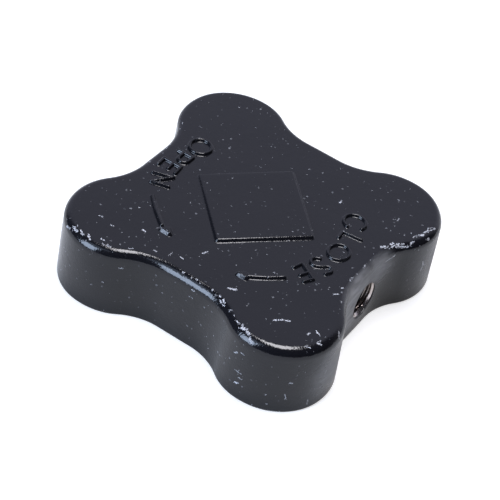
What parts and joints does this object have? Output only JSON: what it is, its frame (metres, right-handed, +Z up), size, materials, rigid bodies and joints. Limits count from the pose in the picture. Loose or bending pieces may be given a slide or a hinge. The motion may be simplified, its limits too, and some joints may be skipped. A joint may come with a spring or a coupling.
{
  "type": "valve knob",
  "caption": "Four-lobed flat valve knob, cored from below, with a blind stem socket in its hub and a side set screw that grips the stem.",
  "frame": {"origin": "on the knob's axis in the plane of its rim, which is the bottom centre of its box", "axes": "+Z up along the stem's axis through the flat top; +Y through the side with the set screw's hole; the lobes lie on the diagonals between X and Y"},
  "size_m": [0.0508, 0.0508, 0.013],
  "materials": {
    "black_paint": "semi-gloss black paint over a zinc casting, chipped at the edges",
    "screw_steel": "plain steel, lightly oiled"
  },
  "bodies": {
    "root": {"knob_body": "black_paint", "set_screw": "screw_steel"}
  },
  "joints": []
}
